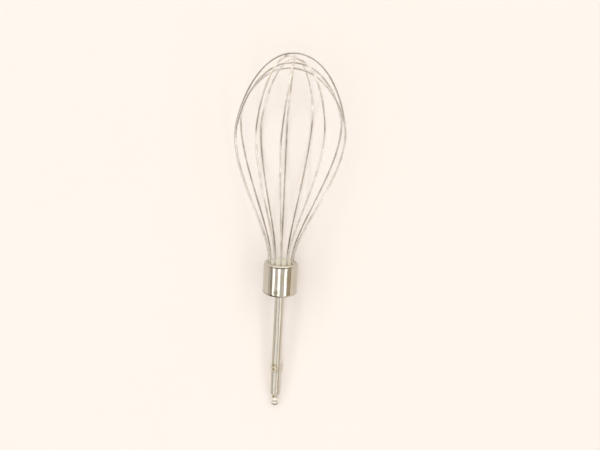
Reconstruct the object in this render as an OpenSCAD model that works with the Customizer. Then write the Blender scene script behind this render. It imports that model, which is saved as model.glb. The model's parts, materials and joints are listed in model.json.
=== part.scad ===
// Wire whisk for an electric hand mixer: six nested wire loops in a moulded holder,
// a drawn metal ferrule round the holder, and a drive shank with pinched lugs and a ball tip.
// Whisk frame: the axis is Z, the holder's face is at z = 0 and the cage stands above it.
// Whisk angles run from +X towards -Y, the side that faces up once the whisk is laid down.
// It lies on the floor as it comes to rest, on the tip of its shank and on two of its wires.

/* [Wire cage] */
// Thickness of the wire
wire_d = 1.15; // [0.9:0.05:1.3]
// Radius of the ring on which the wires enter the holder
wire_ring_r = 6.6; // [6:0.1:7]
// Height of the widest part of the cage above the holder
belly_height = 72.4; // [64:0.2:80]
// Height over which a wire rises before it flares
flare_start = 17.1; // [12:0.1:22]
// Length over which the flare straightens into the belly
flare_end = 24.5; // [16:0.5:30]
// Height of the outermost crown above the holder
crown_height = 113.2; // [108:0.2:122]
// Straightness of the shoulder, as a share of the rise from belly to crown
shoulder_pull = 0.25; // [0.2:0.01:0.5]
// Width of the crown's flat, as a share of the reach
crown_pull = 0.7; // [0.5:0.01:0.8]

/* [Loop 1, with the highest crown] */
// Reach of its two wires at the belly
reach_1 = [29.9, 28.3]; // [24:0.1:34]
// Turn of its two wires at the belly, away from their holes
turn_1 = [1.6, -2.9]; // [-10:0.1:10]
// Rise of its two bellies above the belly height
rise_1 = [-2.1, -2.8]; // [-5:0.1:5]
// Shift of its crown off the axis, sideways and upwards as it lies
shift_1 = [2.2, 0.5]; // [-4:0.1:4]

/* [Loop 2] */
// Reach of its two wires at the belly
reach_2 = [28.7, 29.1]; // [24:0.1:34]
// Turn of its two wires at the belly, away from their holes
turn_2 = [1.7, -1.3]; // [-10:0.1:10]
// Rise of its two bellies above the belly height
rise_2 = [3, 3.4]; // [-5:0.1:5]
// Shift of its crown off the axis, sideways and upwards as it lies
shift_2 = [-1.2, -0.5]; // [-4:0.1:4]
// Drop of its crown below the first, besides one wire for each loop above it
sag_2 = 0.55; // [0.4:0.05:2.6]

/* [Loop 3] */
// Reach of its two wires at the belly
reach_3 = [32.5, 28.6]; // [24:0.1:34]
// Turn of its two wires at the belly, away from their holes
turn_3 = [-3, -4.2]; // [-10:0.1:10]
// Rise of its two bellies above the belly height
rise_3 = [5, -3.8]; // [-5:0.1:5]
// Shift of its crown off the axis, sideways and upwards as it lies
shift_3 = [4, -2.1]; // [-4:0.1:4]
// Drop of its crown below the first, besides one wire for each loop above it
sag_3 = 1.1; // [0.4:0.05:2.6]

/* [Loop 4] */
// Reach of its two wires at the belly
reach_4 = [29.2, 25.2]; // [24:0.1:34]
// Turn of its two wires at the belly, away from their holes
turn_4 = [6.7, -2.4]; // [-10:0.1:10]
// Rise of its two bellies above the belly height
rise_4 = [-0.9, -1.2]; // [-5:0.1:5]
// Shift of its crown off the axis, sideways and upwards as it lies
shift_4 = [1.9, 1.2]; // [-4:0.1:4]
// Drop of its crown below the first, besides one wire for each loop above it
sag_4 = 0.45; // [0.4:0.05:2.6]

/* [Loop 5] */
// Reach of its two wires at the belly
reach_5 = [29.8, 31.9]; // [24:0.1:34]
// Turn of its two wires at the belly, away from their holes
turn_5 = [2.2, 5.3]; // [-10:0.1:10]
// Rise of its two bellies above the belly height
rise_5 = [-0.6, 0.2]; // [-5:0.1:5]
// Shift of its crown off the axis, sideways and upwards as it lies
shift_5 = [0.1, 0.2]; // [-4:0.1:4]
// Drop of its crown below the first, besides one wire for each loop above it
sag_5 = 0.6; // [0.4:0.05:2.6]

/* [Loop 6, with the lowest crown] */
// Reach of its two wires at the belly
reach_6 = [31.5, 30.4]; // [24:0.1:34]
// Turn of its two wires at the belly, away from their holes
turn_6 = [-9.1, -0.2]; // [-10:0.1:10]
// Rise of its two bellies above the belly height
rise_6 = [0.1, 2.6]; // [-5:0.1:5]
// Shift of its crown off the axis, sideways and upwards as it lies
shift_6 = [2.8, 0]; // [-4:0.1:4]
// Drop of its crown below the first, besides one wire for each loop above it
sag_6 = 2.35; // [0.4:0.05:2.6]

/* [Wire holder] */
// Width of plastic left between a wire hole and the edge of the plug's face
hole_margin = 0.35; // [0.3:0.05:0.8]
// Width of the plug's shoulder, which the ferrule's rolled-in edge covers
shoulder_w = 1.2; // [1:0.1:1.6]
// Height of the plug's face above its shoulder
face_step = 0.7; // [0.6:0.1:1.2]
// Depth of each blind wire hole
wire_hole_depth = 10; // [6:0.5:11]
// Room round a wire in its hole
wire_clearance = 0.08; // [0.05:0.01:0.12]
// Room below the end of a wire in its hole
wire_end_gap = 0.3; // [0.1:0.1:0.8]
// Depth of the socket that holds the shank
socket_depth = 12; // [8:0.5:13]
// Room round the shank in its socket
socket_clearance = 0.05; // [0.02:0.01:0.12]
// Room above the end of the shank in its socket
socket_end_gap = 0.3; // [0.1:0.1:0.8]
// Bevel on the plug's edges
holder_bevel = 0.25; // [0.1:0.05:0.4]

/* [Ferrule] */
// Length from the holder's face to the bottom of the ferrule
ferrule_length = 17.9; // [15:0.1:20]
// Thickness of the ferrule's sheet
sheet_t = 0.5; // [0.4:0.05:0.6]
// Outside radius of the rolled-in top edge
top_roll_r = 1.7; // [1.2:0.1:2]
// Outside radius of the drawn bottom edge
bottom_roll_r = 1.3; // [1:0.1:2.4]
// Room between the ferrule and the plug
ferrule_clearance = 0.06; // [0.03:0.01:0.1]
// Room between the ferrule's bottom hole and the shank
bottom_hole_clearance = 0.15; // [0.08:0.01:0.3]

/* [Drive shank] */
// Diameter of the shank
shank_d = 5.2; // [4.9:0.05:5.5]
// Distance from the holder's face to the centre of the ball tip
tip_distance = 80.2; // [72:0.2:95]
// Diameter of the ball tip
ball_d = 4.45; // [4:0.05:4.8]
// Diameter of the neck behind the ball
neck_d = 3.1; // [2.6:0.1:3.6]
// Distance from the ball's centre to the chamfer's small end
neck_length = 3.3; // [2.8:0.1:4]
// Length of the chamfer between neck and shank
chamfer_length = 1.4; // [0.8:0.1:2]
// Distance from the ball's centre to the middle of the lugs
lug_distance = 19.5; // [15:0.1:24]
// Distance across the two lugs
lug_span = 8.2; // [7.6:0.1:9.4]
// Length of a lug along the shank
lug_length = 4.6; // [4:0.1:6]
// Thickness of a lug
lug_t = 1.7; // [1.2:0.1:2.2]
// Turn of the lugs about the shank's axis
lug_turn = 38; // [-90:1:90]
// Depth by which the rod is thinner all round between the lugs, whose metal was pinched out of it
pinch_depth = 0.2; // [0.16:0.02:0.3]
// Depth of the punch marks beside the lugs
punch_depth = 0.6; // [0.3:0.05:0.9]

/* [Hidden] */

bright_wire = [0.76, 0.75, 0.72];
drawn_metal = [0.70, 0.68, 0.64];
plated_rod = [0.66, 0.65, 0.62];
pale_plastic = [0.82, 0.80, 0.70];

// Loops in order of their crowns, highest first, and the hole that each starts from
loop_count = 6;
first_hole = [0, 4, 2, 3, 5, 1];
reaches = [reach_1, reach_2, reach_3, reach_4, reach_5, reach_6];
turns = [turn_1, turn_2, turn_3, turn_4, turn_5, turn_6];
rises = [rise_1, rise_2, rise_3, rise_4, rise_5, rise_6];
shifts = [shift_1, shift_2, shift_3, shift_4, shift_5, shift_6];
sags = [0, sag_2, sag_3, sag_4, sag_5, sag_6];
hole_step = 180 / loop_count;

// The bellies lean with the crown by this share of its shift
belly_follow = 0.45;
// Straight pieces along each curve, and sides of the wire
flare_steps = 28;
crown_steps = 28;
wire_sides = 8;

wire_r = wire_d / 2;
wire_hole_r = wire_r + wire_clearance;
face_r = wire_ring_r + wire_hole_r + hole_margin;
holder_r = face_r + shoulder_w;
ferrule_r = holder_r + ferrule_clearance + sheet_t;
holder_length = ferrule_length - sheet_t - ferrule_clearance;
lip_top = ferrule_clearance + sheet_t - face_step;
shank_r = shank_d / 2;
ball_r = ball_d / 2;
neck_r = neck_d / 2;
shank_end = socket_depth - holder_length - socket_end_gap;
shank_end_bevel = 0.4;
lug_corner_r = 0.9;
pinch_slope = 0.4;
punch_r = 1.1;
punch_angle = 48;
hole_overrun = 1;

// Points of a Bezier curve after its first one
function bezier(a, b, c, d, steps) = [
    for (i = [1 : steps])
        let (t = i / steps, s = 1 - t)
        s * s * s * a + 3 * s * s * t * b + 3 * s * t * t * c + t * t * t * d
];

// Point at a radius and whisk angle
function around(radius, angle, z) = [radius * cos(angle), -radius * sin(angle), z];

function reversed(points) = [for (i = [len(points) - 1 : -1 : 0]) points[i]];

function crown_z(loop) = crown_height - loop * wire_d - sags[loop];

function sideways(loop, z) = [shifts[loop][0], -shifts[loop][1], z];

// One half of a loop, from the blind end of its hole over the flare and belly to the crown
function half_loop(loop, side) =
    let (
        hole_angle = first_hole[loop] * hole_step + 180 * side,
        belly_angle = hole_angle + turns[loop][side],
        crown_angle = hole_angle + (turns[loop][0] + turns[loop][1]) / 2,
        reach = reaches[loop][side],
        belly_z = belly_height + rises[loop][side],
        foot = around(wire_ring_r, hole_angle, wire_end_gap - wire_hole_depth),
        mouth = around(wire_ring_r, hole_angle, 0),
        belly = around(reach, belly_angle, belly_z) + belly_follow * sideways(loop, 0),
        crown = sideways(loop, crown_z(loop)),
        shoulder_rise = [0, 0, shoulder_pull * (crown_z(loop) - belly_z)]
    )
    concat(
        [foot, mouth],
        bezier(mouth, mouth + [0, 0, flare_start], belly - [0, 0, flare_end], belly, flare_steps),
        bezier(belly, belly + shoulder_rise, crown + around(crown_pull * reach, crown_angle, 0), crown, crown_steps)
    );

function loop_path(loop) =
    let (far_half = reversed(half_loop(loop, 1)))
    concat(half_loop(loop, 0), [for (i = [1 : len(far_half) - 1]) far_half[i]]);

// How the whisk lies: the tilt at which the tip and the lowest wire both touch the floor
function tilt_onto(point) =
    let (along = point[2] + tip_distance, down = point[1])
    atan2(down, along) + asin((wire_r - ball_r) / norm([along, down]));

paths = [for (loop = [0 : loop_count - 1]) loop_path(loop)];
lie_angle = max([for (path = paths) for (point = path) tilt_onto(point)]);
function laid_x(point) = point[0];
function laid_y(point) = point[2] * cos(lie_angle) + point[1] * sin(lie_angle);
face_height = ball_r + tip_distance * sin(lie_angle);
left_edge = min([for (path = paths) for (point = path) laid_x(point)]) - wire_r;
right_edge = max([for (path = paths) for (point = path) laid_x(point)]) + wire_r;
far_edge = max([for (path = paths) for (point = path) laid_y(point)]) + wire_r;
near_edge = -tip_distance * cos(lie_angle) - ball_r;

// Moves a piece from the whisk frame to where it lies, with the origin below the middle of the whole
module laid_down() {
    translate([-(left_edge + right_edge) / 2, -(near_edge + far_edge) / 2, face_height])
        rotate([lie_angle - 90, 0, 0])
            children();
}

// Round wire along a path that bends in one plane, with that plane's normal
module swept_wire(path, normal) {
    last = len(path) - 1;
    rings = [
        for (i = [0 : last])
            let (
                ahead = path[min(i + 1, last)] - path[max(i - 1, 0)],
                along = ahead / norm(ahead),
                across = cross(along, normal) / norm(cross(along, normal)),
                square_to = cross(along, across)
            )
            for (k = [0 : wire_sides - 1])
                path[i] + wire_r * (cos(360 * k / wire_sides) * across + sin(360 * k / wire_sides) * square_to)
    ];
    side_faces = [
        for (i = [0 : last - 1])
            for (k = [0 : wire_sides - 1])
                let (
                    a = i * wire_sides + k,
                    b = i * wire_sides + (k + 1) % wire_sides
                )
                for (face = [[a, a + wire_sides, b + wire_sides], [a, b + wire_sides, b]])
                    face
    ];
    first_end = [for (k = [0 : wire_sides - 1]) k];
    last_end = [for (k = [wire_sides - 1 : -1 : 0]) last * wire_sides + k];
    polyhedron(points = rings, faces = concat([first_end], side_faces, [last_end]), convexity = 6);
}

module wire_loop(loop) {
    loop_angle = first_hole[loop] * hole_step + (turns[loop][0] + turns[loop][1]) / 2;
    color(bright_wire)
        laid_down()
            swept_wire(paths[loop], around(1, loop_angle + 90, 0));
}

// Solid outline of a drawn cup with both edges rounded, smaller by an inset
module cup_outline(inset, top, bottom) {
    outline_r = ferrule_r - inset;
    upper_r = top_roll_r - inset;
    lower_r = bottom_roll_r - inset;
    union() {
        translate([0, bottom + lower_r])
            square([outline_r, top - upper_r - bottom - lower_r]);
        translate([0, bottom])
            square([outline_r - lower_r, 2 * lower_r]);
        translate([0, bottom + lower_r])
            square([outline_r - upper_r, top - bottom - lower_r]);
        translate([outline_r - upper_r, top - upper_r])
            intersection() {
                circle(r = upper_r, $fn = 64);
                square(upper_r);
            }
        translate([outline_r - lower_r, bottom + lower_r])
            intersection() {
                circle(r = lower_r, $fn = 64);
                translate([0, -lower_r])
                    square(lower_r);
            }
    }
}

// Moulded plug that fills the ferrule: a raised face with the blind wire holes, and a socket for the shank
module wire_holder() {
    raised_face = [
        [0, -face_step - holder_bevel],
        [face_r, -face_step - holder_bevel],
        [face_r, -holder_bevel],
        [face_r - holder_bevel, 0],
        [0, 0]
    ];
    color(pale_plastic)
        laid_down()
            difference() {
                rotate_extrude($fn = 128)
                    union() {
                        cup_outline(sheet_t + ferrule_clearance, -face_step, -holder_length);
                        polygon(raised_face);
                    }
                for (hole = [0 : 2 * loop_count - 1])
                    translate(around(wire_ring_r, hole * hole_step, -wire_hole_depth))
                        cylinder(r = wire_hole_r, h = wire_hole_depth + hole_overrun, $fn = 32);
                translate([0, 0, -holder_length - hole_overrun])
                    cylinder(r = shank_r + socket_clearance, h = socket_depth + hole_overrun, $fn = 64);
            }
}

// Drawn cup: its edge is rolled in over the plug's shoulder, and the shank passes its bottom
module ferrule() {
    color(drawn_metal)
        laid_down()
            rotate_extrude($fn = 128)
                difference() {
                    cup_outline(0, lip_top, -ferrule_length);
                    cup_outline(sheet_t, lip_top - sheet_t, sheet_t - ferrule_length);
                    translate([0, -face_step])
                        square([face_r + ferrule_clearance, face_step + sheet_t]);
                    translate([0, -ferrule_length - hole_overrun])
                        square([shank_r + bottom_hole_clearance, sheet_t + 2 * hole_overrun]);
                }
}

// Two opposite lugs, pinched out of the rod
module lugs() {
    core = [lug_span / 2 - lug_corner_r, lug_length / 2 - lug_corner_r];
    rotate([90, 0, 0])
        linear_extrude(height = lug_t, center = true)
            union() {
                square([lug_span, 2 * core[1]], center = true);
                square([2 * core[0], lug_length], center = true);
                for (x = [-core[0], core[0]])
                    for (y = [-core[1], core[1]])
                        translate([x, y])
                            circle(r = lug_corner_r, $fn = 32);
            }
}

// Scoops where the rod's metal was pushed out into the lugs
module punch_marks() {
    for (side = [0, 180])
        for (angle = [-punch_angle, punch_angle])
            rotate([0, 0, side + angle])
                translate([shank_r + punch_r - punch_depth, 0, 0])
                    cylinder(r = punch_r, h = lug_length - 2 * punch_r, center = true, $fn = 32);
}

// Drive shank: rod with bevelled upper end, pinched waist with lugs, chamfer, neck and ball tip
module shaft() {
    neck_top = neck_length - tip_distance;
    chamfer_top = neck_top + chamfer_length;
    pinch_r = shank_r - pinch_depth;
    pinch_bottom = lug_distance - tip_distance - lug_length / 2;
    pinch_top = pinch_bottom + lug_length;
    profile = [
        [0, -tip_distance],
        [neck_r, -tip_distance],
        [neck_r, neck_top],
        [shank_r, chamfer_top],
        [shank_r, pinch_bottom],
        [pinch_r, pinch_bottom + pinch_slope],
        [pinch_r, pinch_top - pinch_slope],
        [shank_r, pinch_top],
        [shank_r, shank_end - shank_end_bevel],
        [shank_r - shank_end_bevel, shank_end],
        [0, shank_end]
    ];
    color(plated_rod)
        laid_down()
            union() {
                difference() {
                    rotate_extrude($fn = 96)
                        polygon(profile);
                    translate([0, 0, lug_distance - tip_distance])
                        rotate([0, 0, lug_turn])
                            punch_marks();
                }
                translate([0, 0, lug_distance - tip_distance])
                    rotate([0, 0, lug_turn])
                        lugs();
                translate([0, 0, -tip_distance])
                    sphere(r = ball_r, $fn = 64);
            }
}

wire_loop(0);  // wire_loop_1
wire_loop(1);  // wire_loop_2
wire_loop(2);  // wire_loop_3
wire_loop(3);  // wire_loop_4
wire_loop(4);  // wire_loop_5
wire_loop(5);  // wire_loop_6
wire_holder();
ferrule();
shaft();
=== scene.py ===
import json
import math

import bmesh
import bpy
import numpy as np
from mathutils import Euler, Matrix, Vector, noise


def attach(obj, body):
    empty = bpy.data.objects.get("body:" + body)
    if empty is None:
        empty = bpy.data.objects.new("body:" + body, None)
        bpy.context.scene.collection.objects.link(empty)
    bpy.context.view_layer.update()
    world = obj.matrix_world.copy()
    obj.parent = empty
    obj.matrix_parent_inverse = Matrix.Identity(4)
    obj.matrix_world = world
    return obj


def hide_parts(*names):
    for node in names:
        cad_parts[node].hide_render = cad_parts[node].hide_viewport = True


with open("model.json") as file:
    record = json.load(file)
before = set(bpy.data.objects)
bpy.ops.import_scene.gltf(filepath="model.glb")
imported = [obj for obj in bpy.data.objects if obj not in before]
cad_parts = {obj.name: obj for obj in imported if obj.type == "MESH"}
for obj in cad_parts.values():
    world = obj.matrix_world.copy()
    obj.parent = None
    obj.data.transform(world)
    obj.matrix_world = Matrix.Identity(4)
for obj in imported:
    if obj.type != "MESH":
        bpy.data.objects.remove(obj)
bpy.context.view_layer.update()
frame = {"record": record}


# Drive shank
# The plated steel rod that plugs into the mixer. Two lugs are pinched out of it to take the drive, with
# punch marks beside them, and the tip is turned to a neck and a ball for the mixer's spring clip.
# Its upper end is moulded into the plug.
MM = 0.001
SHANK_R = 2.6
SHANK_END = -5.64
SHANK_END_BEVEL = 0.4
TIP_DISTANCE = 80.2
BALL_R = 2.22
NECK_R = 1.55
NECK_LENGTH = 3.3
NECK_FILLET = 0.5
CHAMFER_LENGTH = 1.4
CHAMFER_EDGE_R = 0.5
LUG_DISTANCE = 19.5
LUG_SPAN = 8.2
LUG_LENGTH = 4.6
LUG_THICKNESS = 1.7
LUG_CORNER_R = 0.9
LUG_TURN = math.radians(-38)
LUG_FILLET = 0.6
PINCH_DEPTH = 0.2
PINCH_RAMP = 0.4
PUNCH_R = 1.1
PUNCH_DEPTH = 0.6
PUNCH_TURN = math.radians(48)
PUNCH_FILLET = 0.2
SHANK_SPOKES = 300
NECK_RING_STEP = 0.15
LUG_RING_STEP = 0.11
ROD_RING_STEP = 2.5
BALL_RINGS = 24
ARC_STEP = math.radians(10)
SHARP_EDGE = math.radians(40)
LEAST_SINE = 0.01

mount = frame["record"]["mounts"][0]
axis_along = -Vector(mount["axis"]).normalized()
axis_up = Vector((0, -axis_along.z, axis_along.y))
lie_angle = math.asin(axis_along.z)
plain_rod_top = LUG_DISTANCE - LUG_LENGTH / 2
plain_rod_low = NECK_LENGTH + CHAMFER_LENGTH
mount_to_face = TIP_DISTANCE - (plain_rod_top + plain_rod_low) / 2
face_centre = Vector(mount["pos_m"]) + axis_along * mount_to_face * MM


def laid(side, up, along):
    """Points of the whisk frame, in millimetres, where they lie in the row frame, in metres."""
    side, up, along = np.broadcast_arrays(side, up, along)
    offsets = side[..., None] * np.array((1, 0, 0)) + up[..., None] * np.array(axis_up)
    return np.array(face_centre) + MM * (offsets + along[..., None] * np.array(axis_along))


def rounded(corners, arc_step=ARC_STEP):
    """Profile through corners of (radius, along, corner radius), with an arc where that radius isn't 0."""
    points = []
    for i, (r, along, corner_r) in enumerate(corners):
        here = Vector((r, along))
        if corner_r == 0:
            points.append(here)
            continue
        back = (Vector(corners[i - 1][:2]) - here).normalized()
        ahead = (Vector(corners[(i + 1) % len(corners)][:2]) - here).normalized()
        half = back.angle(ahead) / 2
        centre = here + (back + ahead).normalized() * corner_r / math.sin(half)
        first = here + back * corner_r / math.tan(half) - centre
        last = here + ahead * corner_r / math.tan(half) - centre
        steps = max(2, math.ceil((math.pi - 2 * half) / arc_step))
        points += [centre + corner_r * first.slerp(last, step / steps) for step in range(steps + 1)]
    return points


def angles_round(spokes):
    return np.arange(spokes) * 2 * math.pi / spokes


def turned_piece(name, rings, spokes, loops_round=False):
    """Closed mesh from rings of (radius, along), where a radius of 0 is a pole. Either may vary by spoke."""
    angles = angles_round(spokes)
    points, ring_vertices = [], []
    for radius, along in rings:
        count = 1 if np.ndim(radius) == 0 and radius == 0 else spokes
        ring = laid(radius * np.cos(angles), radius * np.sin(angles), along)[:count]
        ring_vertices.append(np.arange(len(points), len(points) + count))
        points += list(ring)
    faces = []
    following = ring_vertices[1:] + ring_vertices[:1] if loops_round else ring_vertices[1:]
    for low, high in zip(ring_vertices, following):
        for k in range(spokes):
            corners = [low[k % len(low)], high[k % len(high)]]
            corners += [high[(k + 1) % len(high)], low[(k + 1) % len(low)]]
            faces.append(list(dict.fromkeys(int(c) for c in corners)))
    mesh = bpy.data.meshes.new(name)
    mesh.from_pydata([tuple(p) for p in points], [], faces)
    shell = bmesh.new()
    shell.from_mesh(mesh)
    bmesh.ops.recalc_face_normals(shell, faces=shell.faces)
    shell.to_mesh(mesh)
    shell.free()
    mesh.shade_smooth()
    mesh.set_sharp_from_angle(angle=SHARP_EDGE)
    piece = bpy.data.objects.new(name, mesh)
    bpy.context.scene.collection.objects.link(piece)
    return piece


def soft_min(a, b, blend):
    """Smaller of two radii, rounded off where they are about equal."""
    share = np.clip(0.5 + 0.5 * (b - a) / blend, 0, 1)
    return b + (a - b) * share - blend * share * (1 - share)


def soft_max(a, b, blend):
    return -soft_min(-a, -b, blend)


def pinched(radius, from_lugs, angles):
    """Radius of the rod beside its lugs, at a height from their middle, with the lugs and punch marks."""
    for side in (0, math.pi):
        off_lug = (angles - LUG_TURN - side + math.pi) % (2 * math.pi) - math.pi
        straight = LUG_LENGTH / 2 - LUG_CORNER_R
        past = max(abs(from_lugs) - straight, 0)
        if past < LUG_CORNER_R:
            crest = LUG_SPAN / 2 - LUG_CORNER_R + math.sqrt(LUG_CORNER_R**2 - past**2)
            flank = LUG_THICKNESS / 2 / np.maximum(np.abs(np.sin(off_lug)), LEAST_SINE)
            lug = np.where(np.abs(off_lug) < math.pi / 2, soft_min(flank, crest, LUG_FILLET), 0)
            radius = soft_max(radius, lug, LUG_FILLET)
        for turn in (-PUNCH_TURN, PUNCH_TURN):
            off_punch = off_lug - turn
            distance = SHANK_R + PUNCH_R - PUNCH_DEPTH
            beyond = max(abs(from_lugs) - (LUG_LENGTH / 2 - PUNCH_R), 0)
            chord = PUNCH_R**2 - beyond**2 - (distance * np.sin(off_punch)) ** 2
            hollow = distance * np.cos(off_punch) - np.sqrt(np.maximum(chord, 0))
            cut = np.where((chord > 0) & (np.cos(off_punch) > 0), hollow, LUG_SPAN)
            radius = soft_min(radius, cut, PUNCH_FILLET)
    return radius


def radius_on(profile, along):
    return float(np.interp(along, [p.y for p in profile], [p.x for p in profile]))


ball_top = math.sqrt(BALL_R**2 - NECK_R**2)
neck_top = NECK_LENGTH - TIP_DISTANCE
pinch_low = plain_rod_top - TIP_DISTANCE
pinch_high = pinch_low + LUG_LENGTH
lug_middle = (pinch_low + pinch_high) / 2
rod_profile = rounded(
    [
        (NECK_R, ball_top - TIP_DISTANCE, 0),
        (NECK_R, neck_top, NECK_FILLET),
        (SHANK_R, neck_top + CHAMFER_LENGTH, CHAMFER_EDGE_R),
        (SHANK_R, pinch_low, 0),
        (SHANK_R - PINCH_DEPTH, pinch_low + PINCH_RAMP, 0),
        (SHANK_R - PINCH_DEPTH, pinch_high - PINCH_RAMP, 0),
        (SHANK_R, pinch_high, 0),
        (SHANK_R, SHANK_END - SHANK_END_BEVEL, 0),
        (SHANK_R - SHANK_END_BEVEL, SHANK_END, 0),
    ]
)
lowest_lug_ring = pinch_low - 2 * LUG_RING_STEP
highest_lug_ring = pinch_high + 2 * LUG_RING_STEP
shank_angles = angles_round(SHANK_SPOKES)
shank_rings = [(0, -TIP_DISTANCE - BALL_R)]
for step in range(1, BALL_RINGS):
    polar = -math.pi / 2 + step / BALL_RINGS * (math.pi / 2 + math.asin(ball_top / BALL_R))
    shank_rings.append((BALL_R * math.cos(polar), BALL_R * math.sin(polar) - TIP_DISTANCE))
for along in np.arange(ball_top - TIP_DISTANCE, neck_top - NECK_FILLET, NECK_RING_STEP):
    shank_rings.append((NECK_R, along))
shank_rings += [(p.x, p.y) for p in rod_profile[1:] if p.y < lowest_lug_ring]
for along in np.arange(lowest_lug_ring, highest_lug_ring, LUG_RING_STEP):
    shank_rings.append((pinched(radius_on(rod_profile, along), along - lug_middle, shank_angles), along))
for along in np.arange(highest_lug_ring, SHANK_END - SHANK_END_BEVEL, ROD_RING_STEP):
    shank_rings.append((SHANK_R, along))
shank_rings += [(p.x, p.y) for p in rod_profile[-2:]]
shank_rings.append((0, SHANK_END))
shaft = turned_piece("shaft_rod", shank_rings, SHANK_SPOKES)

# Grease that stays in the corners of the punch marks and behind the ball, as a mask on the points. Its spots
# are degrees round the rod, and millimetres from the middle of the lugs or from the holder's face.
GRIME_R = 0.85
LUG_SPOTS = [(126, 2.05), (126, -0.2), (90, 0.95), (91, -0.9)]
NECK_SPOTS = [(119, -76.5), (126, -77.2), (238, -77.6)]


def spot_mask(mesh, name, spots, reach):
    """Stores on the mesh's points how near each is to one of the spots, which are places in the row frame."""
    points = np.empty(len(mesh.vertices) * 3, np.float32)
    mesh.vertices.foreach_get("co", points)
    points = points.reshape(-1, 3)
    nearness = np.zeros(len(points), np.float32)
    for spot in spots:
        distance = np.linalg.norm(points - spot, axis=1) / (reach * MM)
        nearness = np.maximum(nearness, np.exp(-(distance**2)))
    mesh.attributes.new(name, "FLOAT", "POINT").data.foreach_set("value", nearness)


def around(radius, degrees, along):
    """Place on the whisk at a distance from its axis, some degrees round it."""
    angle = math.radians(degrees)
    return radius * math.cos(angle), radius * math.sin(angle), along


grime_places = [laid(*around(NECK_R, degrees, along)) for degrees, along in NECK_SPOTS]
for side in (0, 180):
    for degrees, height in LUG_SPOTS:
        grime_places.append(laid(*around(SHANK_R, degrees + side, height + lug_middle)))
spot_mask(shaft.data, "grime_and_shade", grime_places, GRIME_R)


class Amount:
    """One number that varies over a finish. Sums and products with it add Math nodes."""

    def __init__(self, finish, socket):
        self.finish = finish
        self.socket = socket

    def maths(self, operation, *terms, clamp=False):
        settings = {"operation": operation, "use_clamp": clamp}
        return self.finish.node("ShaderNodeMath", settings, dict(enumerate(terms)))

    def __add__(self, other):
        return self.maths("ADD", self, other)

    def __sub__(self, other):
        return self.maths("SUBTRACT", self, other)

    def __rsub__(self, other):
        return self.maths("SUBTRACT", other, self)

    def __abs__(self):
        return self.maths("ABSOLUTE", self)

    def __mul__(self, other):
        return self.maths("MULTIPLY", self, other)

    __radd__ = __add__
    __rmul__ = __mul__

    def clamped(self):
        return self.maths("ADD", self, 0, clamp=True)


class Finish:
    """A material in the making: node() adds any node, and surface() closes it with the shader."""

    def __init__(self, name):
        self.material = bpy.data.materials.new(name)
        self.material.use_nodes = True
        self.tree = self.material.node_tree
        self.tree.nodes.clear()

    def node(self, kind, settings, inputs, output=0):
        made = self.tree.nodes.new(kind)
        for key, value in settings.items():
            setattr(made, key, value)
        for key, value in inputs.items():
            socket = made.inputs[key]
            if isinstance(value, Amount):
                self.tree.links.new(value.socket, socket)
            else:
                socket.default_value = value
        return Amount(self, made.outputs[output]) if made.outputs else None

    def whisk_place(self):
        """Where a point is on the whisk, in millimetres: sideways, down and along the axis."""
        place = self.node("ShaderNodeTexCoord", {}, {}, "Object")
        turn = Euler((lie_angle - math.pi / 2, 0, 0))
        inputs = {"Vector": place, "Location": face_centre, "Rotation": turn, "Scale": (MM, MM, MM)}
        return self.node("ShaderNodeMapping", {"vector_type": "TEXTURE"}, inputs)

    def part(self, place, letter):
        """One direction of a place: X, Y or Z."""
        return self.node("ShaderNodeSeparateXYZ", {}, {"Vector": place}, letter)

    def kept(self, name, output):
        """An attribute that is kept on the piece's points."""
        return self.node("ShaderNodeAttribute", {"attribute_name": name}, {}, output)

    def speckle(self, place, scale, detail=3, roughness=0.55):
        """Noise with one scale, or with one for each direction, which draws it out into lines."""
        if isinstance(scale, tuple):
            place = self.node("ShaderNodeVectorMath", {"operation": "MULTIPLY"}, {0: place, 1: scale})
            scale = 1
        inputs = {"Vector": place, "Scale": scale, "Detail": detail, "Roughness": roughness}
        return self.node("ShaderNodeTexNoise", {}, inputs)

    def range(self, amount, low, high, to_low=0, to_high=1):
        """Turns low to high into to_low to to_high, and holds it there on both sides."""
        inputs = {0: amount, 1: low, 2: high, 3: to_low, 4: to_high}
        return self.node("ShaderNodeMapRange", {"clamp": True}, inputs)

    def blend(self, share, first, second):
        inputs = {0: share}
        for index, colour in ((6, first), (7, second)):
            inputs[index] = colour if isinstance(colour, Amount) else (*colour, 1)
        return self.node("ShaderNodeMix", {"data_type": "RGBA"}, inputs, 2)

    def bump(self, height, depth, strength):
        """Relief of a depth in millimetres."""
        inputs = {"Height": height, "Distance": depth * MM, "Strength": strength}
        return self.node("ShaderNodeBump", {}, inputs)

    def surface(self, inputs):
        shader = self.node("ShaderNodeBsdfPrincipled", {}, inputs)
        self.node("ShaderNodeOutputMaterial", {}, {"Surface": shader})
        return self.material


# Bright plating: lines drawn along the rod, one of them deep, with a painted dark reflection along it,
# tarnish in soft patches, lugs rubbed pale, a bright ball with painted shade on its end, and brown grease
# with a yellow edge in the punch marks and behind the ball
PLATING = (0.77, 0.735, 0.67)
PLATING_DULL = (0.52, 0.49, 0.43)
PLATING_RUBBED = (0.86, 0.83, 0.76)
TARNISH = (0.60, 0.53, 0.40)
GREASE = (0.17, 0.12, 0.07)
GREASE_EDGE = (0.62, 0.54, 0.36)
BALL_BRIGHT = (0.95, 0.92, 0.85)
# Painted shade on the end of the ball towards the tip
BALL_END_SHADE = (0.24, 0.22, 0.19)
# A painted dark reflection along the rod, over the deep line it sits in
DARK_REFLECTION_LINE = (0.34, 0.31, 0.26)
DARK_LINE_SIDE = 0.2
DARK_LINE_WAVER = 0.08
DARK_LINE_FADE = (0.06, 0.2)

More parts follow.
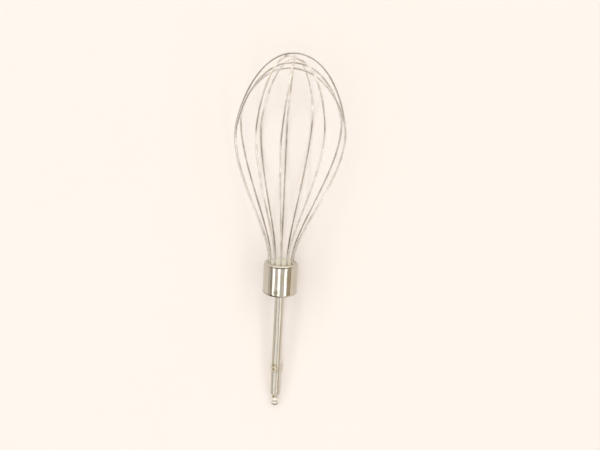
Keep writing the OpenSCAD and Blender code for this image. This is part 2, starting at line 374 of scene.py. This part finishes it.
# Between which places along the axis the ball's colours fade out, and between which squares of the distance
# from the axis that of the lugs fades in
BALL_FADE = (-78.2, -77.7)
BALL_END_SHADE_FADE = (-81.3, -80.4)
LUG_FADE = (7.6, 10.5)

# How dense the patterns are per millimetre: the same every way, or sideways, down and along the axis
DRAW_LINES = (2.1, 2.1, 0.02)
FINE_LINES = (14, 14, 0.12)
PATCHES = (0.5, 0.5, 0.08)
GRAIN = 5.5
PLATING_RELIEF = 0.02
plating = Finish("satin_plating")
place = plating.whisk_place()
side = plating.part(place, "X")
down = plating.part(place, "Y")
along = plating.part(place, "Z")
draw_lines = plating.speckle(place, DRAW_LINES, detail=4)
fine_lines = plating.speckle(place, FINE_LINES)
patches = plating.speckle(place, PATCHES)
grain = plating.speckle(place, GRAIN, detail=4, roughness=0.7)
grime_and_shade = plating.kept("grime_and_shade", "Fac")
dull = plating.range(draw_lines, 0.42, 0.6)
# Painted reflection: a dark line along the rod just beside its top, also cut in as a groove
dark_line_and_groove = plating.range(abs(side - DARK_LINE_SIDE + DARK_LINE_WAVER * patches), *DARK_LINE_FADE, 1, 0)
on_ball = plating.range(along, *BALL_FADE, 1, 0)
# Painted shade: the ball's end towards the tip is darkened, and made duller and less metallic
ball_end_shade = plating.range(along, *BALL_END_SHADE_FADE, 1, 0)
on_lug = plating.range(side * side + down * down, *LUG_FADE)
rubbed = (on_ball + on_lug).clamped()
halo = plating.range(grime_and_shade, 0.05, 0.5)
tint = plating.blend(dull, PLATING, PLATING_DULL)
tint = plating.blend(plating.range(patches, 0.52, 0.72, 0, 0.6), tint, TARNISH)
tint = plating.blend(dark_line_and_groove * 0.85 * (1 - rubbed), tint, DARK_REFLECTION_LINE)
tint = plating.blend(rubbed * 0.8, tint, PLATING_RUBBED)
tint = plating.blend(on_ball * 0.9, tint, plating.blend(ball_end_shade, BALL_BRIGHT, BALL_END_SHADE))
tint = plating.blend(0.75 * halo * plating.range(grain, 0.3, 0.5, 0.5, 1), tint, GREASE_EDGE)
greasy = (plating.range(grime_and_shade, 0.5, 0.85) * plating.range(grain, 0.3, 0.6, 0.6, 1)).clamped()
tint = plating.blend(greasy, tint, GREASE)
relief = fine_lines * 0.6 + draw_lines * 0.8 - dark_line_and_groove * 1.5 + rubbed * grain * 1.5
shaft.data.materials.append(
    plating.surface(
        {
            "Base Color": tint,
            "Metallic": plating.range(greasy + 0.7 * ball_end_shade, 0, 1, 1, 0.25),
            "Roughness": (0.28 + 0.05 * dull + 0.05 * on_lug + 0.2 * (halo + greasy + ball_end_shade)).clamped(),
            "Normal": plating.bump(relief, PLATING_RELIEF, strength=0.3),
        }
    )
)
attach(shaft, "root")
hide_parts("shaft")


# Plug
# The pale moulded plug that holds the wires: a raised face with twelve blind holes in a ring, a shoulder
# that the ferrule is rolled over, and a socket moulded round the shank.
WIRE_R = 0.57
WIRE_RING_R = 6.6
HOLE_COUNT = 12
HOLE_R = 0.655
HOLE_MOUTH_R = 0.86
MOUTH_DEPTH = 0.35
BORE_EDGE = 0.08
BORE_SHOWN = 2
FACE_R = 7.605
FACE_EDGE = 0.3
FACE_EDGE_ARC_R = 0.285
FACE_STEP = 0.7
SHOULDER_R = 8.805
SHOULDER_ROLL_R = 1.14
PLUG_LENGTH = 17.34
PLUG_ROLL_R = 0.74
SOCKET_R = 2.65
SOCKET_DEPTH = 12
FACE_DISH = 0.12
GATE_R = 1.3
GATE_WIDTH = 0.22
GATE_DEPTH = 0.25
PLUG_SPOKES = 360

# Rings of points on the face, with how far inside the ring of holes the widely spaced ones end and the
# closely spaced ones begin
FIRST_RING_R = 0.3
WIDE_RINGS = 26
WIDE_RINGS_END = 1.05
CLOSE_RINGS = 24
CLOSE_RINGS_START = 0.95

plug_angles = angles_round(PLUG_SPOKES)
off_hole = (plug_angles + math.pi / HOLE_COUNT) % (2 * math.pi / HOLE_COUNT) - math.pi / HOLE_COUNT


def face_height(r):
    """Height of the face round one ring, with its dish, the gate mark and the mouths of the holes."""
    height = -FACE_DISH * (1 - (r / FACE_R) ** 2)
    height -= GATE_DEPTH * math.exp(-(((r - GATE_R) / GATE_WIDTH) ** 2))
    apart = np.sqrt(r**2 + WIRE_RING_R**2 - 2 * r * WIRE_RING_R * np.cos(off_hole))
    mouth = np.clip((HOLE_MOUTH_R - apart) / (HOLE_MOUTH_R - HOLE_R), 0, 1)
    bore = np.clip((HOLE_R - apart) / BORE_EDGE, 0, 1)
    return height - MOUTH_DEPTH * mouth**2 - BORE_SHOWN * bore


middle_radii = np.linspace(FIRST_RING_R, WIRE_RING_R - WIDE_RINGS_END, WIDE_RINGS)
hole_radii = np.linspace(WIRE_RING_R - CLOSE_RINGS_START, FACE_R - FACE_EDGE, CLOSE_RINGS)
face_rings = [(0, float(face_height(0)[0]))]
for r in np.concatenate([middle_radii, hole_radii]):
    face_rings.append((r, face_height(r)))
plug_sides = rounded(
    [
        (FACE_R - FACE_EDGE, 0, 0),
        (FACE_R, 0, FACE_EDGE_ARC_R),
        (FACE_R, -FACE_STEP, 0),
        (SHOULDER_R, -FACE_STEP, SHOULDER_ROLL_R),
        (SHOULDER_R, -PLUG_LENGTH, PLUG_ROLL_R),
        (SOCKET_R, -PLUG_LENGTH, 0),
        (SOCKET_R, SOCKET_DEPTH - PLUG_LENGTH, 0),
        (0, SOCKET_DEPTH - PLUG_LENGTH, 0),
    ]
)
plug_rings = face_rings + [(p.x, p.y) for p in plug_sides[1:]]
plug = turned_piece("plug", plug_rings, PLUG_SPOKES)

# Satin beige plastic with a faint flow pattern and a little dust, with painted shade in the mouths of the
# holes and at the rim
PLASTIC = (0.84, 0.815, 0.665)
PLASTIC_PALE = (0.90, 0.88, 0.76)
# Dark colour for the dust specks, and for painted shade in the hole mouths and at the rim
PLASTIC_DIRT_AND_SHADE = (0.22, 0.185, 0.11)
HOLE_SHADE_R = 1.05
RIM_SHADE_START = 7.15
FLOW = 0.5
PORES = 7
DUST = 2.3
PLASTIC_RELIEF = 0.05
hole_places = []
for hole in range(HOLE_COUNT):
    hole_places.append(laid(*around(WIRE_RING_R, hole * 360 / HOLE_COUNT, -MOUTH_DEPTH)))
spot_mask(plug.data, "grime_and_shade", hole_places, HOLE_SHADE_R)
plastic = Finish("moulded_plastic")
place = plastic.whisk_place()
flow = plastic.speckle(place, FLOW, detail=5)
pores = plastic.speckle(place, PORES, roughness=0.7)
dust = plastic.speckle(place, DUST, detail=6, roughness=0.65)
side = plastic.part(place, "X")
down = plastic.part(place, "Y")
rim = plastic.range(side * side + down * down, RIM_SHADE_START**2, FACE_R**2)
grime_and_shade = plastic.range(plastic.kept("grime_and_shade", "Fac"), 0.3, 0.75)
tint = plastic.blend(plastic.range(flow, 0.35, 0.68), PLASTIC, PLASTIC_PALE)
# Painted shade: the mouths of the holes and the rim beside the ferrule's lip are darkened, in a dusty pattern
mouth_and_rim_shade = ((grime_and_shade + rim) * plastic.range(dust, 0.3, 0.62, 0.4, 1)).clamped()
tint = plastic.blend(mouth_and_rim_shade * 0.8, tint, PLASTIC_DIRT_AND_SHADE)
tint = plastic.blend(plastic.range(dust, 0.62, 0.75, 0, 0.35), tint, PLASTIC_DIRT_AND_SHADE)
plug.data.materials.append(
    plastic.surface(
        {
            "Base Color": tint,
            "Roughness": (0.3 + 0.16 * pores + 0.25 * mouth_and_rim_shade).clamped(),
            "Normal": plastic.bump(pores * 0.5 + flow * 0.5, PLASTIC_RELIEF, strength=0.4),
        }
    )
)
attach(plug, "root")
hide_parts("wire_holder")


# Wire cage
# Six loops of bright spring wire, bent by hand: each rises straight out of its hole, flares to the belly and
# closes over the crown into the opposite hole. The loops cross on the axis, the first one outermost.
WIRE_END = -9.7
BELLY_HEIGHT = 72.4
FLARE_START = 17.1
FLARE_END = 24.5
SHOULDER_PULL = 0.25
CROWN_PULL = 0.7
BELLY_FOLLOW = 0.45
WIRE_SIDES = 14
WIRE_RING_STEP = 0.55
PATH_STEPS = 64

# For each loop the hole it starts from, then the reach, turn and rise of its two bellies, and where its
# crown is: sideways and upwards of the axis, and along it
LOOPS = {
    "wire_loop_1": (0, (29.9, 28.3), (1.6, -2.9), (-2.1, -2.8), (2.2, 0.5, 113.2)),
    "wire_loop_2": (4, (28.7, 29.1), (1.7, -1.3), (3, 3.4), (-1.2, -0.5, 111.5)),
    "wire_loop_3": (2, (32.5, 28.6), (-3, -4.2), (5, -3.8), (4, -2.1, 109.8)),
    "wire_loop_4": (3, (29.2, 25.2), (6.7, -2.4), (-0.9, -1.2), (1.9, 1.2, 109.3)),
    "wire_loop_5": (5, (29.8, 31.9), (2.2, 5.3), (-0.6, 0.2), (0.1, 0.2, 108)),
    "wire_loop_6": (1, (31.5, 30.4), (-9.1, -0.2), (0.1, 2.6), (2.8, 0, 105.1)),
}


def loop_points(start_hole, reaches, turns, rises, crown):
    """Points of a loop with their two handles, from one blind hole over the crown to the other."""
    crown = Vector(crown)
    lean = BELLY_FOLLOW * Vector((crown.x, crown.y, 0))
    halves, crown_handles = [], []
    for side in (0, 1):
        hole_angle = start_hole * 360 / HOLE_COUNT + 180 * side
        belly_angle = hole_angle + turns[side]
        belly = Vector(around(reaches[side], belly_angle, BELLY_HEIGHT + rises[side])) + lean
        foot = Vector(around(WIRE_RING_R, hole_angle, WIRE_END))
        mouth = Vector(around(WIRE_RING_R, hole_angle, 0))
        shoulder = Vector((0, 0, SHOULDER_PULL * (crown.z - belly.z)))
        halves.append(
            [
                (foot, foot, foot.lerp(mouth, 1 / 3)),
                (mouth, mouth.lerp(foot, 1 / 3), mouth + Vector((0, 0, FLARE_START))),
                (belly, belly - Vector((0, 0, FLARE_END)), belly + shoulder),
            ]
        )
        crown_angle = hole_angle + sum(turns) / 2
        crown_handles.append(crown + Vector(around(CROWN_PULL * reaches[side], crown_angle, 0)))
    back_down = [(point, after, before) for point, before, after in reversed(halves[1])]
    return halves[0] + [(crown, *crown_handles)] + back_down


def wire_tree(finish_material):
    """Geometry Nodes that lay a round wire along a path.

    For the finish they keep where each point is along and round the wire, and how far it faces up.
    """
    tree = bpy.data.node_groups.new("wire_along_path", "GeometryNodeTree")
    sockets = tree.interface
    sockets.new_socket("Path", in_out="INPUT", socket_type="NodeSocketGeometry")
    for label, value in (("Wire radius", WIRE_R * MM), ("Ring step", WIRE_RING_STEP * MM)):
        made = sockets.new_socket(label, in_out="INPUT", socket_type="NodeSocketFloat")
        made.default_value = value
    sides = sockets.new_socket("Sides", in_out="INPUT", socket_type="NodeSocketInt")
    sides.default_value = WIRE_SIDES
    sockets.new_socket("Wire", in_out="OUTPUT", socket_type="NodeSocketGeometry")

    def node(kind, settings=None, links=None):
        made = tree.nodes.new(kind)
        for key, value in (settings or {}).items():
            setattr(made, key, value)
        for key, value in (links or {}).items():
            if isinstance(value, bpy.types.NodeSocket):
                tree.links.new(value, made.inputs[key])
            else:
                made.inputs[key].default_value = value
        return made

    given = node("NodeGroupInput").outputs
    path = node(
        "GeometryNodeResampleCurve",
        {"mode": "LENGTH"},
        {"Curve": given["Path"], "Length": given["Ring step"]},
    )
    distance = node("GeometryNodeSplineParameter").outputs["Length"]
    captured = node("GeometryNodeCaptureAttribute", {"domain": "POINT"})
    captured.capture_items.new("FLOAT", "Distance")
    tree.links.new(path.outputs["Curve"], captured.inputs["Geometry"])
    tree.links.new(distance, captured.inputs["Distance"])
    profile = node(
        "GeometryNodeCurvePrimitiveCircle",
        {},
        {"Resolution": given["Sides"], "Radius": given["Wire radius"]},
    )
    rim = node("GeometryNodeCaptureAttribute", {"domain": "POINT"})
    rim.capture_items.new("VECTOR", "Rim")
    tree.links.new(profile.outputs["Curve"], rim.inputs["Geometry"])
    tree.links.new(node("GeometryNodeInputPosition").outputs["Position"], rim.inputs["Rim"])
    swept = node(
        "GeometryNodeCurveToMesh",
        {},
        {"Curve": captured.outputs["Geometry"], "Profile Curve": rim.outputs["Geometry"], "Fill Caps": True},
    )
    rim_parts = node("ShaderNodeSeparateXYZ", {}, {"Vector": rim.outputs["Rim"]}).outputs
    unrolled = node(
        "ShaderNodeCombineXYZ",
        {},
        {"X": rim_parts["X"], "Y": rim_parts["Y"], "Z": captured.outputs["Distance"]},
    )
    kept = node(
        "GeometryNodeStoreNamedAttribute",
        {"data_type": "FLOAT_VECTOR", "domain": "POINT"},
        {"Geometry": swept.outputs["Mesh"], "Name": "unrolled", "Value": unrolled.outputs["Vector"]},
    )
    outward = node("GeometryNodeInputNormal").outputs["Normal"]
    upward = node("ShaderNodeSeparateXYZ", {}, {"Vector": outward}).outputs["Z"]
    kept = node(
        "GeometryNodeStoreNamedAttribute",
        {"data_type": "FLOAT", "domain": "POINT"},
        {"Geometry": kept.outputs["Geometry"], "Name": "upward", "Value": upward},
    )
    smooth = node("GeometryNodeSetShadeSmooth", {}, {"Geometry": kept.outputs["Geometry"]})
    real = node("GeometryNodeRealizeInstances", {}, {"Geometry": smooth.outputs["Geometry"]})
    finished = node(
        "GeometryNodeSetMaterial",
        {},
        {"Geometry": real.outputs["Geometry"], "Material": finish_material},
    )
    node("NodeGroupOutput", {}, {"Wire": finished.outputs["Geometry"]})
    return tree


# Bright drawn wire, brushed whitish by washing except by the holder and at the crowns: fine lines along its
# length, dull and yellowed stretches, small dark nicks, and a painted dark reflection along its top, thinned
# unevenly where the wire is brushed
WIRE_BRIGHT = (0.95, 0.93, 0.90)
WIRE_DULL = (0.70, 0.67, 0.63)
WIRE_YELLOWED = (0.80, 0.74, 0.64)
# Colour of a painted dark reflection along the top of the wire
WIRE_DARK_REFLECTION = (0.34, 0.32, 0.29)
TOP_LINE_FADE = (0.78, 0.94)
BRUSHED_START = (8, 36)
BRUSHED_STOP = (86, 106)

# How dense the patterns are: per millimetre of the whisk, or per metre of the wire, twice across it and
# once along it
STRETCHES = 0.16
YELLOWING = 0.09
LINE_GAPS = 0.07
WIRE_LINES = (9000, 9000, 120)
NICKS = (2500, 2500, 900)
WIRE_RELIEF = 0.01
bright_wire = Finish("bright_wire")
unrolled = bright_wire.kept("unrolled", "Vector")
place = bright_wire.whisk_place()
wire_lines = bright_wire.speckle(unrolled, WIRE_LINES, detail=4)
stretches = bright_wire.speckle(place, STRETCHES, detail=2)
yellowing = bright_wire.speckle(place, YELLOWING)
line_gaps = bright_wire.speckle(place, LINE_GAPS, detail=1)
nicks = bright_wire.speckle(unrolled, NICKS, detail=5, roughness=0.7)
tint = bright_wire.blend(bright_wire.range(stretches, 0.4, 0.66), WIRE_BRIGHT, WIRE_DULL)
tint = bright_wire.blend(bright_wire.range(yellowing, 0.5, 0.68, 0, 0.7), tint, WIRE_YELLOWED)
tint = bright_wire.blend(bright_wire.range(nicks, 0.66, 0.74, 0, 0.7), tint, WIRE_DULL)
along = bright_wire.part(place, "Z")
brushed = bright_wire.range(along, *BRUSHED_START) * bright_wire.range(along, *BRUSHED_STOP, 1, 0.3)
# Painted reflection: a dark line where the wire faces up, thinned in uneven patches along the brushed stretch
on_top = bright_wire.range(bright_wire.kept("upward", "Fac"), *TOP_LINE_FADE)
line_thinned = brushed * bright_wire.range(line_gaps, 0.42, 0.58, 0.85, 0.35)
tint = bright_wire.blend(on_top * (0.9 - line_thinned), tint, WIRE_DARK_REFLECTION)
wire_material = bright_wire.surface(
    {
        "Base Color": tint,
        "Metallic": bright_wire.range(brushed, 0, 1, 1, 0.78),
        "Roughness": (0.08 + 0.08 * brushed + 0.1 * stretches + 0.06 * wire_lines).clamped(),
        "Normal": bright_wire.bump(wire_lines + 0.3 * nicks, WIRE_RELIEF, strength=0.3),
    }
)
tree = wire_tree(wire_material)
for name, sizes in LOOPS.items():
    points = loop_points(*sizes)
    curve = bpy.data.curves.new(name + "_path", "CURVE")
    curve.dimensions = "3D"
    spline = curve.splines.new("BEZIER")
    spline.bezier_points.add(len(points) - 1)
    spline.resolution_u = PATH_STEPS
    for made, (point, before, after) in zip(spline.bezier_points, points):
        made.handle_left_type = "FREE"
        made.handle_right_type = "FREE"
        made.co, made.handle_left, made.handle_right = (Vector(laid(*p)) for p in (point, before, after))
    holder = bpy.data.objects.new(name + "_path", curve)
    bpy.context.scene.collection.objects.link(holder)
    modifier = holder.modifiers.new("wire", "NODES")
    modifier.node_group = tree
    evaluated = holder.evaluated_get(bpy.context.evaluated_depsgraph_get())
    mesh = bpy.data.meshes.new_from_object(evaluated)
    bpy.data.objects.remove(holder)
    mesh.name = name
    wire = bpy.data.objects.new("bent_" + name, mesh)
    bpy.context.scene.collection.objects.link(wire)
    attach(wire, "root")
    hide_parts(name)


# Ferrule
# A cup drawn from thin sheet and polished. Its edge is rolled in over the plug's shoulder, and the shank
# passes through a hole in its bottom. Handling has left it slightly wavy, with one small dent low down.
FERRULE_R = 9.365
FERRULE_LENGTH = 17.9
SHEET_T = 0.5
LIP_TOP = -0.14
LIP_R = 7.665
LIP_EDGE_R = 0.12
TOP_ROLL_R = 1.7
BOTTOM_ROLL_R = 1.3
BOTTOM_HOLE_R = 2.75
FERRULE_SPOKES = 320
FERRULE_ARC_STEP = math.radians(6)
WALL_STEP = 0.35
WAVE_DEPTH = 0.035
WAVE_SINK = 0.5
WAVE_SCALE = 0.16
DENT_ANGLE = math.radians(104.5)
DENT_ALONG = -15.1
DENT_R = 0.8
DENT_DEPTH = 0.1

outside = rounded(
    [
        (BOTTOM_HOLE_R, -FERRULE_LENGTH, LIP_EDGE_R),
        (FERRULE_R, -FERRULE_LENGTH, BOTTOM_ROLL_R),
        (FERRULE_R, LIP_TOP, TOP_ROLL_R),
        (LIP_R, LIP_TOP, LIP_EDGE_R),
        (LIP_R, LIP_TOP - SHEET_T, LIP_EDGE_R),
        (FERRULE_R - SHEET_T, LIP_TOP - SHEET_T, TOP_ROLL_R - SHEET_T),
        (FERRULE_R - SHEET_T, SHEET_T - FERRULE_LENGTH, BOTTOM_ROLL_R - SHEET_T),
        (BOTTOM_HOLE_R, SHEET_T - FERRULE_LENGTH, LIP_EDGE_R),
    ],
    FERRULE_ARC_STEP,
)
ferrule_angles = angles_round(FERRULE_SPOKES)
ferrule_rings = []
for point, following in zip(outside, outside[1:] + outside[:1]):
    pieces = max(1, round((following - point).length / WALL_STEP))
    for piece in range(pieces):
        r, along = point.lerp(following, piece / pieces)
        waves = np.array(
            [
                noise.noise(Vector((r * math.cos(a), r * math.sin(a), along)) * WAVE_SCALE)
                for a in ferrule_angles
            ]
        )
        off_dent = (r * (ferrule_angles - DENT_ANGLE)) ** 2 + (along - DENT_ALONG) ** 2
        dent = DENT_DEPTH * np.exp(-off_dent / DENT_R**2)
        ferrule_rings.append((r - WAVE_DEPTH * (WAVE_SINK + waves) - dent, along))
ferrule = turned_piece("drawn_ferrule", ferrule_rings, FERRULE_SPOKES, loops_round=True)

# Polished drawn metal: bright, with faint lines from the die, small scratches and a warm film, with painted
# shade in streaks at the sides, a dark patch beside the dent and a painted dark reflection along the edge of
# the bottom
POLISHED = (0.68, 0.64, 0.57)
POLISHED_WARM = (0.60, 0.54, 0.43)
# Colour of the painted shade at the ferrule's sides
POLISHED_SIDE_SHADE = (0.50, 0.47, 0.41)
# A dark patch beside the dent
DENT_DARK_PATCH = (0.38, 0.355, 0.31)
DARK_PATCH_DEGREES = 99.5
DARK_PATCH_R = 1.35
# Colour of a painted dark reflection along the bottom edge
BOTTOM_EDGE_DARK_REFLECTION = (0.10, 0.085, 0.06)

# Between which places along the axis the painted dark line at the bottom fades out, how far it slants, and
# between which distances to either side it thins and the painted shade of the sides begins
BOTTOM_LINE_FADE = (-17.4, -17.0)
BOTTOM_LINE_SLANT = 0.11
BOTTOM_LINE_ENDS = (4.5, 7)
SIDE_SHADE_FADE = (4.5, 7.5)

# How dense the patterns are per millimetre: the same every way, or sideways, down and along the axis
DIE_LINES = (5, 5, 0.1)
STREAKS = (1.9, 1.9, 0.05)
SCRATCHES = (2.2, 2.2, 9)
FILM = 0.18
SPOTS = 3
FERRULE_RELIEF = 0.02
spot_mask(ferrule.data, "dark_patch", [laid(*around(FERRULE_R, DARK_PATCH_DEGREES, DENT_ALONG))], DARK_PATCH_R)
polished = Finish("polished_ferrule")
place = polished.whisk_place()
side = polished.part(place, "X")
along = polished.part(place, "Z")
die_lines = polished.speckle(place, DIE_LINES, detail=4)
streaks = polished.speckle(place, STREAKS)
scratches = polished.speckle(place, SCRATCHES, detail=6, roughness=0.75)
film = polished.speckle(place, FILM, detail=5, roughness=0.6)
spots = polished.speckle(place, SPOTS, detail=5, roughness=0.7)
tint = polished.blend(polished.range(film, 0.4, 0.68, 0, 0.8), POLISHED, POLISHED_WARM)
tint = polished.blend(polished.range(spots, 0.66, 0.76, 0, 0.5), tint, POLISHED_WARM)
# Painted shade: the ferrule is darkened in streaks towards its sides
side_shade = polished.range(abs(side), *SIDE_SHADE_FADE) * polished.range(streaks, 0.35, 0.62, 0.35, 1)
tint = polished.blend(side_shade * 0.75, tint, POLISHED_SIDE_SHADE)
# Darkens a patch beside the dent
tint = polished.blend(polished.kept("dark_patch", "Fac") * 0.85, tint, DENT_DARK_PATCH)
# Painted reflection: a dark line along the bottom edge, slanting a little and thinning towards the sides
bottom_line = polished.range(along + BOTTOM_LINE_SLANT * side, *BOTTOM_LINE_FADE, 1, 0)
tint = polished.blend(bottom_line * polished.range(abs(side), *BOTTOM_LINE_ENDS, 1, 0.2), tint, BOTTOM_EDGE_DARK_REFLECTION)
ferrule.data.materials.append(
    polished.surface(
        {
            "Base Color": tint,
            "Metallic": 1,
            "Roughness": (0.07 + 0.08 * film + 0.08 * polished.range(scratches, 0.55, 0.75)).clamped(),
            "Normal": polished.bump(die_lines + 0.4 * scratches, FERRULE_RELIEF, strength=0.35),
        }
    )
)
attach(ferrule, "root")
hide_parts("ferrule")


# Floor, lamps and camera
# A warm-white floor that glows faintly, three long soft lamps side by side overhead, and cards that only the
# metal mirrors: dark ones where a room's walls and the camera are, pale ones in a doorway and beyond the
# cage. Distances are in metres here, unless MM is named.
FLOOR_SIZE = 8
FLOOR_COLOUR = (0.744, 0.70, 0.676)
FLOOR_SHADE = (0.732, 0.684, 0.656)
FLOOR_GLOW = (0.198, 0.181, 0.166)

# How dense the floor's patterns are per metre, and its relief in millimetres
MOTTLE = 9
TOOTH = 900
FLOOR_RELIEF = 0.02
bpy.ops.mesh.primitive_plane_add(size=FLOOR_SIZE)
floor = bpy.context.object
floor.name = "floor"
laminate = Finish("floor_laminate")
place = laminate.node("ShaderNodeTexCoord", {}, {}, "Object")
mottle = laminate.speckle(place, MOTTLE, detail=4)
tooth = laminate.speckle(place, TOOTH, detail=2)
floor.data.materials.append(
    laminate.surface(
        {
            "Base Color": laminate.blend(mottle, FLOOR_COLOUR, FLOOR_SHADE),
            "Roughness": (0.62 + 0.1 * tooth).clamped(),
            "Normal": laminate.bump(tooth, FLOOR_RELIEF, strength=0.3),
            "Specular IOR Level": 0.3,
            "Emission Color": (*FLOOR_GLOW, 1),
            "Emission Strength": 1,
        }
    )
)

LAMP_HEIGHT = 1.0
LAMP_LENGTH = 3.2
LAMP_RADIANCE = 1.6
LAMP_WIDTH_ANGLE = math.radians(14)
LAMP_TURNS = {"left": -45.2, "middle": -7.9, "right": 37.2}
for name, degrees in LAMP_TURNS.items():
    turn = math.radians(degrees)
    distance = LAMP_HEIGHT / math.cos(turn)
    width = 2 * distance * math.tan(LAMP_WIDTH_ANGLE / 2)
    light = bpy.data.lights.new("lamp_" + name, "AREA")
    light.shape = "RECTANGLE"
    light.size = width
    light.size_y = LAMP_LENGTH
    light.energy = LAMP_RADIANCE * math.pi * width * LAMP_LENGTH
    lamp = bpy.data.objects.new("lamp_" + name, light)
    lamp.location = (math.sin(turn) * distance, 0, LAMP_HEIGHT)
    lamp.rotation_euler = (0, turn, 0)
    lamp.visible_camera = False
    bpy.context.scene.collection.objects.link(lamp)

# For each card its colour, and where it starts and ends: degrees from upright as seen from the whisk, to the
# side or lengthways
CARDS = {
    "card_left": ((0.38, 0.34, 0.29), "side", -71, -54),
    "card_right": ((0.46, 0.39, 0.29), "side", 50, 77),
    "card_doorway": ((1.05, 0.94, 0.76), "side", 78, 88),
    "card_camera": ((0.3, 0.275, 0.24), "length", -18, 28),
    "card_beyond": ((1.25, 1.2, 1.08), "length", 31, 84),
}
CARD_DISTANCE = 0.95
CARD_HALF_SPAN = {"side": 2.2, "length": 1.15}
for name, (colour, way, start, end) in CARDS.items():
    angles = [math.radians(start), math.radians(end)]
    edges = [(math.sin(a) * CARD_DISTANCE, math.cos(a) * CARD_DISTANCE) for a in angles]
    span = CARD_HALF_SPAN[way]
    corners = []
    for (out, height), ends in zip(edges, ((-span, span), (span, -span))):
        for end_place in ends:
            corners.append((out, end_place, height) if way == "side" else (end_place, out, height))
    mesh = bpy.data.meshes.new(name)
    mesh.from_pydata(corners, [], [(0, 1, 2, 3)])
    card = bpy.data.objects.new(name, mesh)
    bpy.context.scene.collection.objects.link(card)
    paint = Finish(name)
    glow = paint.node("ShaderNodeEmission", {}, {"Color": (*colour, 1), "Strength": 1})
    paint.node("ShaderNodeOutputMaterial", {}, {"Surface": glow})
    mesh.materials.append(paint.material)
    card.visible_camera = False
    card.visible_diffuse = False
    card.visible_shadow = False
    card.visible_transmission = False

ROOM_COLOUR = (0.68, 0.65, 0.60)
world = bpy.data.worlds.new("room")
world.use_nodes = True
world.node_tree.nodes["Background"].inputs["Color"].default_value = (*ROOM_COLOUR, 1)
bpy.context.scene.world = world

CAMERA_TARGET = Vector((7.548, 3.292, 0)) * MM
CAMERA_DISTANCE = 0.87575
CAMERA_TILT = math.radians(5.583)
CAMERA_ROLL = 0.0472
CAMERA_LENS = 96
SENSOR_WIDTH = 36
right = Vector((math.cos(CAMERA_ROLL), math.sin(CAMERA_ROLL), 0))
away = Vector((-math.sin(CAMERA_ROLL), math.cos(CAMERA_ROLL), 0))
back = Vector((0, 0, 1)) * math.cos(CAMERA_TILT) + away * math.sin(CAMERA_TILT)
top = back.cross(right)
camera = bpy.data.objects.new("camera", bpy.data.cameras.new("camera"))
camera.data.lens = CAMERA_LENS
camera.data.sensor_width = SENSOR_WIDTH
camera.matrix_world = Matrix.Translation(CAMERA_TARGET + back * CAMERA_DISTANCE) @ Matrix(
    (right, top, back)
).transposed().to_4x4()
bpy.context.scene.collection.objects.link(camera)
bpy.context.scene.camera = camera
bpy.context.scene.view_settings.view_transform = "Standard"
